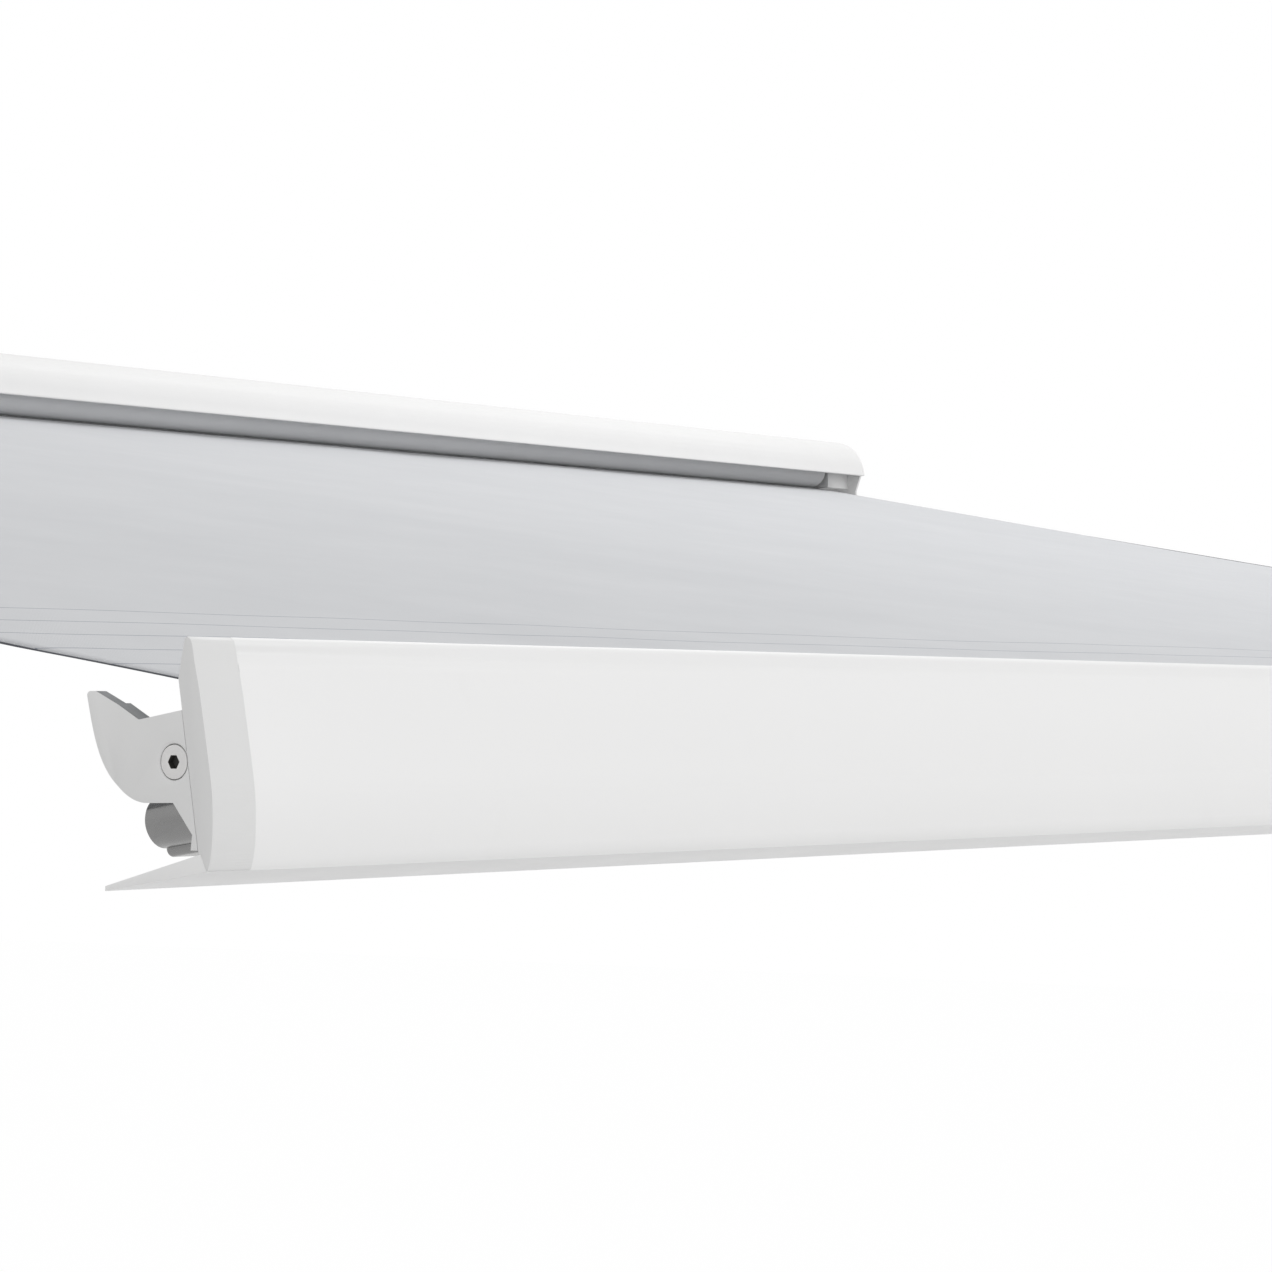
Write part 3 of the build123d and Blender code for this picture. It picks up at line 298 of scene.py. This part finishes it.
armPaint = plainFinish("armPaint", {
    "colour": (0.83, 0.833, 0.835), "colourPatch": (0.81, 0.815, 0.82), "dust": 0.07,
    "grainScale": 800.0, "patchScale": 4.0, "dustScale": 40.0,
    "roughness": (0.36, 0.5), "bumpDistance": 0.00007, "bumpStrength": 0.35,
    "sockets": {"Specular IOR Level": 0.45},
})
darkPlastic = plainFinish("darkPlastic", {
    "colour": (0.045, 0.046, 0.048), "colourPatch": (0.06, 0.061, 0.063), "dust": 0.2,
    "dustColour": (0.16, 0.155, 0.15), "grainScale": 1800.0, "patchScale": 30.0, "dustScale": 120.0,
    "roughness": (0.5, 0.68), "bumpDistance": 0.0001, "bumpStrength": 0.4,
    "sockets": {"Specular IOR Level": 0.4},
})
# painted shade: a dark grey finish for the hook's upper wing edge, standing in for the shade the
# canopy casts there
paintedEdgeShade = plainFinish("paintedEdgeShade", {
    "colour": (0.205, 0.212, 0.218), "colourPatch": (0.180, 0.187, 0.193), "dust": 0.06,
    "grainScale": 1800.0, "patchScale": 45.0, "dustScale": 120.0,
    "roughness": (0.55, 0.7), "bumpDistance": 0.0001, "bumpStrength": 0.4,
    "sockets": {"Specular IOR Level": 0.35},
})
# painted shade: a near-black finish in the hex socket of the hook screw, standing in for the shade
# in the recess
paintedSocketShade = plainFinish("paintedSocketShade", {
    "colour": (0.03, 0.028, 0.026), "colourPatch": (0.05, 0.046, 0.042), "dust": 0.1,
    "grainScale": 2600.0, "patchScale": 300.0, "dustScale": 260.0,
    "roughness": (0.4, 0.6), "bumpDistance": 0.00005, "bumpStrength": 0.4,
    "sockets": {"Specular IOR Level": 0.4},
})


def addWeave(tree, settings, vector):
    weave = tree.nodes.new("ShaderNodeGroup")
    weave.node_tree = weaveGroup
    weave.inputs["Threads"].default_value = settings["threads"]
    tree.links.new(vector, weave.inputs["Vector"])
    return weave


def wovenCloth(name, colour, colourPatch):
    settings = {
        "colour": colour, "colourPatch": colourPatch,
        "threadColour": (0.36, 0.37, 0.40), "threadShare": 0.25,
        "grainScale": 500.0, "patchScale": 2.2, "dustScale": 7.0, "threads": 1500.0,
        "stripeColour": (0.20, 0.22, 0.27), "stripeWidth": 0.0024, "stripeShare": 0.85,
        "stripes": (0.0955, 0.1615, 0.2260, 0.2900, 0.3540),
        "roughness": (0.55, 0.75), "bumpDistance": 0.00012, "bumpStrength": 0.5,
        "sockets": {"Specular IOR Level": 0.3, "Sheen Weight": 0.08, "Sheen Roughness": 0.5},
    }
    material, tree, shader, coords, grain = startMaterial(name, settings)
    uvMap = tree.nodes.new("ShaderNodeUVMap")
    uvMap.uv_map = "flatCloth"
    weave = addWeave(tree, settings, uvMap.outputs["UV"])
    colour = patchColours(tree, grain, settings)
    shade = addMath(tree, "SUBTRACT", 1.0, weave.outputs["Thread Shade"])
    shade = addMath(tree, "MULTIPLY", shade, settings["threadShare"])
    colour = mixColours(tree, shade, colour, settings["threadColour"])
    split = tree.nodes.new("ShaderNodeSeparateXYZ")
    tree.links.new(uvMap.outputs["UV"], split.inputs[0])
    for place in settings["stripes"]:  # woven pin stripes along the front edge
        line = addMath(tree, "COMPARE", split.outputs["Y"], place, settings["stripeWidth"] / 2)
        line = addMath(tree, "MULTIPLY", line, settings["stripeShare"])
        colour = mixColours(tree, line, colour, settings["stripeColour"])
    finishMaterial(tree, shader, grain, settings, colour=colour, height=weave.outputs["Height"])
    return material


def hemTape():
    settings = {
        "colour": (0.12, 0.125, 0.14), "colourPatch": (0.10, 0.105, 0.12), "dust": 0.04,
        "grainScale": 900.0, "patchScale": 5.0, "dustScale": 20.0, "threads": 1100.0,
        "roughness": (0.6, 0.8), "bumpDistance": 0.0002, "bumpStrength": 0.6,
        "sockets": {"Specular IOR Level": 0.3},
    }
    material, tree, shader, coords, grain = startMaterial("hemTape", settings)
    weave = addWeave(tree, settings, coords.outputs["Object"])
    finishMaterial(tree, shader, grain, settings, height=weave.outputs["Height"])
    return material


clothMaterial = wovenCloth("canopyCloth", (0.560, 0.568, 0.584), (0.537, 0.546, 0.563))
# the turns on the roller are painted paler than the canopy cloth: painted light that brightens the
# shaded bay under the hood
rollPaintedLight = wovenCloth("rollClothPaintedLight", (0.82, 0.826, 0.835), (0.80, 0.806, 0.815))
hemMaterial = hemTape()
print("stage: finishes made")

# ---- pieces that keep the solids' shapes get rounded edges in copies of their meshes;
# each row gives the rounding in metres and the finish

rounding = {
    "rail_end_cap_left": (0.0012, capPaint), "rail_end_cap_right": (0.0012, capPaint),
    "closing_hook_left": (0.0010, hookPaint), "closing_hook_right": (0.0010, hookPaint),
    "hook_screws": (0.0004, screwSteel), "front_profile": (0.0003, whitePaint),
    "leg_barrel_left": (0.0009, bareAluminium), "leg_barrel_right": (0.0009, bareAluminium),
    "leg_outer_tube_left": (0.0003, bareAluminium), "leg_outer_tube_right": (0.0003, bareAluminium),
    "leg_inner_tube_left": (0.0003, bareAluminium), "leg_inner_tube_right": (0.0003, bareAluminium),
    "leg_clamp_lever_left": (0.0008, darkPlastic), "leg_clamp_lever_right": (0.0008, darkPlastic),
    "leg_foot_left": (0.0008, darkPlastic), "leg_foot_right": (0.0008, darkPlastic),
    "leg_pivot_block_left": (0.0010, bracketMetal), "leg_pivot_block_right": (0.0010, bracketMetal),
    "leg_clips": (0.0005, bracketMetal),
    "top_cover": (0.0004, hoodPaint), "back_profile": (0.0004, whitePaint),
    "bottom_shelf": (0.0004, whitePaint),
    "cassette_end_cap_left": (0.0012, capPaint), "cassette_end_cap_right": (0.0012, capPaint),
    "wall_brackets": (0.0006, bracketMetal), "mounting_bolts": (0.0006, zincSteel),
    "shoulder_bracket_left": (0.0010, bracketMetal),
    "shoulder_bracket_right": (0.0010, bracketMetal),
    "arm_mount_left": (0.0010, bracketMetal), "arm_mount_right": (0.0010, bracketMetal),
    "shoulder_pins": (0.0006, zincSteel), "front_pins": (0.0006, zincSteel),
    "upper_arm_tube_left": (0.0004, armPaint), "upper_arm_tube_right": (0.0004, armPaint),
    "forearm_tube_left": (0.0004, armPaint), "forearm_tube_right": (0.0004, armPaint),
    "shoulder_fitting_left": (0.0012, armPaint), "shoulder_fitting_right": (0.0012, armPaint),
    "front_fitting_left": (0.0012, armPaint), "front_fitting_right": (0.0012, armPaint),
    "elbow_fork_left": (0.0012, armPaint), "elbow_fork_right": (0.0012, armPaint),
    "elbow_tongue_left": (0.0012, armPaint), "elbow_tongue_right": (0.0012, armPaint),
    "elbow_pin_left": (0.0006, zincSteel), "elbow_pin_right": (0.0006, zincSteel),
    "gear_case": (0.0012, capPaint), "worm_shaft": (0.0006, zincSteel),
}
# hidden pieces keep their CAD mesh and get a finish alone
keptNodes = {
    "roller_tube": bareAluminium, "roller_plug_left": darkPlastic, "roller_plug_right": darkPlastic,
    "roller_bush": darkPlastic, "worm_wheel": zincSteel, "arm_spring_left": zincSteel,
    "arm_spring_right": zincSteel, "canopy_keder": darkPlastic, "end_cap_screws": zincSteel,
    "catch_pegs": zincSteel,
}
bodyOf = {
    node: body
    for body, nodes in frame["record"]["behaviour"]["bodies"].items()
    for node in nodes
}


# the hook's upper wing edge and the socket of its screw get painted shade, dark finishes that stand
# in for the shade on them; back is measured from the rail's front, out from the rail's end
wingEdge = {"back": (0.036, 0.076), "rise": 0.55, "sideways": 0.5}
screwSocket = {"back": 0.0132, "down": 0.0747, "reach": 0.0052, "inset": 0.0062, "depth": 0.0056}


def onWingEdge(face):
    low, high = wingEdge["back"]
    back = face.calc_center_median().y - awning["railTop"][0]
    upward = face.normal.z > wingEdge["rise"] and abs(face.normal.x) < wingEdge["sideways"]
    return low < back < high and upward


def inSocket(face):
    spotY = awning["railTop"][0] + screwSocket["back"]
    spotZ = awning["railTop"][1] - screwSocket["down"]
    out = abs(face.calc_center_median().x) - (awning["railHalf"] - screwSocket["inset"])
    reach = max(hypot(v.co.y - spotY, v.co.z - spotZ) for v in face.verts)
    return reach < screwSocket["reach"] and out < screwSocket["depth"]


# painted shade: faces picked by these masks get the second, dark finish
paintedShadeMarks = {
    "closing_hook_left": (paintedEdgeShade, onWingEdge), "closing_hook_right": (paintedEdgeShade, onWingEdge),
    "hook_screws": (paintedSocketShade, inSocket),
}
copying = {
    "mergeDistance": 2e-6, "flatAngle": radians(0.6), "bevelAngle": radians(34),
    "smoothAngle": radians(33), "bevelSegments": 2,
}


def roundedCopy(node, width, material):
    bm = bmesh.new()
    bm.from_mesh(bpy.data.objects[node].data)
    bmesh.ops.remove_doubles(bm, verts=bm.verts, dist=copying["mergeDistance"])
    bmesh.ops.dissolve_limit(
        bm, angle_limit=copying["flatAngle"], verts=bm.verts, edges=bm.edges)
    sharp = [
        edge for edge in bm.edges
        if len(edge.link_faces) == 2 and edge.calc_face_angle(0.0) > copying["bevelAngle"]
    ]
    if sharp:
        bmesh.ops.bevel(
            bm, geom=sharp, offset=width, offset_type="OFFSET", segments=copying["bevelSegments"],
            profile=0.5, affect="EDGES", clamp_overlap=True, material=-1)
    shadeMaterial, inPaintedShade = paintedShadeMarks.get(node, (None, None))
    if shadeMaterial:
        for face in bm.faces:
            if inPaintedShade(face):
                face.material_index = 1
    mesh = bpy.data.meshes.new(node + "_rounded")
    bm.to_mesh(mesh)
    bm.free()
    mesh.polygons.foreach_set("use_smooth", [True] * len(mesh.polygons))
    mesh.set_sharp_from_angle(angle=copying["smoothAngle"])
    mesh.materials.append(material)
    if shadeMaterial:
        mesh.materials.append(shadeMaterial)
    piece = linkObject(node + "_finished", mesh)
    return placePiece(piece, bodyOf[node], (node,))


for node, (width, material) in rounding.items():
    roundedCopy(node, width, material)
for node, material in keptNodes.items():
    solid = bpy.data.objects[node]
    for slot in solid.material_slots:
        slot.material = material
print("stage: rigid pieces finished")


# ---- canopy cloth: one taut sheet from the rail to the roll, with a slight sag and soft wrinkles

# hold is the share of the reach over which the sag fades out at the rail and at the roll; the
# edges curl down beyond curlFrom, a share of the width
cloth = {
    "start": 0.0034, "along": 96, "sag": 0.0055, "holdAtRail": 0.06, "holdAtRoll": 0.03,
    "edgeCurl": 0.0012, "curlFrom": 0.488, "curlOver": 0.012,
}


def clothHeight(share, along, ripple=0.0):
    hold = min(1.0, along / cloth["holdAtRail"], (1.0 - along) / cloth["holdAtRoll"])
    sag = -cloth["sag"] * 4 * along * (1 - along)
    curl = -cloth["edgeCurl"] * max(0.0, (share - cloth["curlFrom"]) / cloth["curlOver"]) ** 2
    return (sag + ripple + curl) * max(hold, 0.0)


def makeCanopy():
    # each wrinkle row is cells across, shift across, cells along and place in the noise
    values = {
        "across": 240, "thickness": 0.0006, "wrinkle": 0.0011,
        "wrinkles": ((26, 0, 2.0, 0.3), (7, 5, 5.0, 2.1)),
    }
    low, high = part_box("canopy")
    width = high[0] - low[0]
    reach = hypot(high[1] - low[1], high[2] - low[2])
    bm = bmesh.new()
    bmesh.ops.create_grid(
        bm, x_segments=values["across"], y_segments=cloth["along"], size=0.5)
    uvLayer = bm.loops.layers.uv.new("flatCloth")
    for face in bm.faces:
        for loop in face.loops:
            flat = loop.vert.co
            loop[uvLayer].uv = (flat.x * width, (flat.y + 0.5) * reach)
    for vert in bm.verts:
        across, along = vert.co.x, vert.co.y + 0.5
        ripple = 0.0
        for cells, shift, rows, depth in values["wrinkles"]:
            spot = Vector((across * cells + shift, along * rows, depth))
            ripple += noise.noise(spot) * values["wrinkle"]
        height = clothHeight(abs(across), along, ripple)
        vert.co = onSlope(across * width, cloth["start"] + along * reach, height)
    bmesh.ops.recalc_face_normals(bm, faces=bm.faces)
    mesh = bpy.data.meshes.new("canopyCloth")
    bm.to_mesh(mesh)
    bm.free()
    mesh.polygons.foreach_set("use_smooth", [True] * len(mesh.polygons))
    mesh.materials.append(clothMaterial)
    canopy = linkObject("canopyCloth", mesh)
    thicken(canopy, values["thickness"])
    placePiece(canopy, "cassette", ("canopy",))
    return canopy, width, reach


def makeHem(name, side, width, reach):
    values = {"width": 0.026, "thickness": 0.0011, "below": 0.0008, "endGap": 0.03, "across": 3}
    bm = bmesh.new()
    bmesh.ops.create_grid(bm, x_segments=values["across"], y_segments=cloth["along"], size=0.5)
    for vert in bm.verts:
        along = vert.co.y + 0.5
        across = side * (width / 2 - values["width"] * (0.5 - vert.co.x * side))
        place = cloth["start"] + values["endGap"] + along * (reach - 2 * values["endGap"])
        height = clothHeight(abs(across) / width, along) - values["below"]
        vert.co = onSlope(across, place, height)
    hem = finishMesh(name, bm, hemMaterial)
    thicken(hem, values["thickness"])
    return placePiece(hem, "cassette")


canopyPiece, clothWidth, clothReach = makeCanopy()
hemLeft = makeHem("canopyHemLeft", -1, clothWidth, clothReach)
hemRight = makeHem("canopyHemRight", 1, clothWidth, clothReach)
# the shares of their length left when closed; the hems keep less and so stay clear of the rail
closedShare = {canopyPiece: 0.0253, hemLeft: 0.0133, hemRight: 0.0133}
for piece, share in closedShare.items():
    bpy.context.view_layer.update()
    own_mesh(piece)
print("stage: canopy made")


# ---- last turns of the cloth on the roller, wound as a spiral

wound = {
    "width": 4.36, "turns": 2, "inner": 0.03006, "outer": 0.03118, "meanRadius": 0.0306,
    "thickness": 0.0005, "steps": 160, "clothPlace": 2.5, "clothStep": 0.002,
    "smoothAngle": 40.0,
}


def makeClothRoll():
    low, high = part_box("fabric_roll")
    centreY, centreZ = (low[1] + high[1]) / 2, (low[2] + high[2]) / 2
    outer = wound["outer"] - wound["thickness"] / 2
    shrink = wound["outer"] - wound["inner"] - wound["thickness"]
    bm = bmesh.new()
    verts = []
    for k in range(wound["steps"] + 1):
        share = k / wound["steps"]
        angle = -pi / 2 + awning["slope"] - share * wound["turns"] * 2 * pi
        radius = outer - shrink * share
        y, z = centreY + radius * cos(angle), centreZ + radius * sin(angle)
        verts.append(bm.verts.new((low[0], y, z)))
    edges = [bm.edges.new((verts[k], verts[k + 1])) for k in range(len(verts) - 1)]
    grown = bmesh.ops.extrude_edge_only(bm, edges=edges)
    moved = [item for item in grown["geom"] if isinstance(item, bmesh.types.BMVert)]
    bmesh.ops.translate(bm, verts=moved, vec=(high[0] - low[0], 0, 0))
    uvLayer = bm.loops.layers.uv.new("flatCloth")
    for face in bm.faces:
        for loop in face.loops:
            place = wound["clothPlace"] + loop.vert.index * wound["clothStep"]
            loop[uvLayer].uv = (loop.vert.co.x, place)
    # painted light: the roll gets the paler copy of the cloth
    roll = finishMesh("clothRoll", bm, rollPaintedLight, wound["smoothAngle"])
    thicken(roll, wound["thickness"])
    return placePiece(roll, "roller", ("fabric_roll",))


clothRoll = makeClothRoll()
print("stage: cloth roll made")

# ---- stage, light and camera

studio = {
    "floorLevel": -2.9, "floorSize": 60.0, "floorColour": (0.8, 0.8, 0.8, 1),
    "floorRoughness": 0.9, "floorGlow": 0.985, "worldDiffuse": 0.77,
}
frontSoftbox = {"energy": 0.62, "angle": 50.0, "direction": (-0.16, 1.0, -0.35)}
canopySoftbox = {"energy": 58.0, "size": (3.0, 2.0), "place": (1.9, -1.3, 3.4)}


def cameraSees(tree):
    path = tree.nodes.new("ShaderNodeLightPath")
    seen = addMath(tree, "MAXIMUM", path.outputs["Is Camera Ray"], path.outputs["Is Glossy Ray"])
    return addMath(tree, "MAXIMUM", seen, path.outputs["Is Transmission Ray"])


def makeStage():
    bm = bmesh.new()
    bmesh.ops.create_grid(
        bm, x_segments=2, y_segments=2, size=studio["floorSize"] / 2,
        matrix=Matrix.Translation((0, 0, studio["floorLevel"])))
    floorMaterial = bpy.data.materials.new("studioFloor")
    floorMaterial.use_nodes = True
    tree = floorMaterial.node_tree
    shader = tree.nodes["Principled BSDF"]
    shader.inputs["Base Color"].default_value = studio["floorColour"]
    shader.inputs["Roughness"].default_value = studio["floorRoughness"]
    glow = tree.nodes.new("ShaderNodeEmission")
    glow.inputs["Strength"].default_value = 1.0
    blend = tree.nodes.new("ShaderNodeMixShader")
    seen = addMath(tree, "MULTIPLY", cameraSees(tree), studio["floorGlow"])
    tree.links.new(seen, blend.inputs["Fac"])
    tree.links.new(shader.outputs["BSDF"], blend.inputs[1])
    tree.links.new(glow.outputs["Emission"], blend.inputs[2])
    tree.links.new(blend.outputs["Shader"], tree.nodes["Material Output"].inputs["Surface"])
    floor = finishMesh("studioFloor", bm, floorMaterial)
    world = bpy.data.worlds.new("studioWorld")
    bpy.context.scene.world = world
    world.use_nodes = True
    tree = world.node_tree
    background = tree.nodes["Background"]
    background.inputs["Color"].default_value = (1, 1, 1, 1)
    low = studio["worldDiffuse"]
    strength = addMath(tree, "MULTIPLY_ADD", cameraSees(tree), 1.0 - low, low)
    tree.links.new(strength, background.inputs["Strength"])


def makeLamps():
    lamp = bpy.data.lights.new("frontSoftbox", "SUN")
    lamp.energy = frontSoftbox["energy"]
    lamp.angle = radians(frontSoftbox["angle"])
    lampObject = linkObject("frontSoftbox", lamp)
    direction = Vector(frontSoftbox["direction"])
    lampObject.rotation_euler = direction.to_track_quat("-Z", "Y").to_euler()
    lamp = bpy.data.lights.new("canopySoftbox", "AREA")
    lamp.shape = "RECTANGLE"
    lamp.size, lamp.size_y = canopySoftbox["size"]
    lamp.energy = canopySoftbox["energy"]
    lampObject = linkObject("canopySoftbox", lamp)
    lampObject.location = canopySoftbox["place"]


def makeCamera():
    values = {
        "place": (-4.014, -4.0704, -0.3988), "yaw": 35.406, "pitch": 1.289,
        "lens": 113.2, "sensor": 36.0, "clipEnd": 200.0,
    }
    data = bpy.data.cameras.new("photoCamera")
    data.lens = values["lens"]
    data.sensor_width = values["sensor"]
    data.clip_end = values["clipEnd"]
    camera = linkObject("photoCamera", data)
    yaw = radians(values["yaw"])
    pitch = radians(values["pitch"])
    look = Vector((cos(yaw) * cos(pitch), sin(yaw) * cos(pitch), sin(pitch)))
    camera.location = values["place"]
    camera.rotation_euler = look.to_track_quat("-Z", "Y").to_euler()
    bpy.context.scene.camera = camera


makeStage()
makeLamps()
makeCamera()
bpy.context.scene.view_settings.view_transform = "Standard"
print("stage: studio ready")
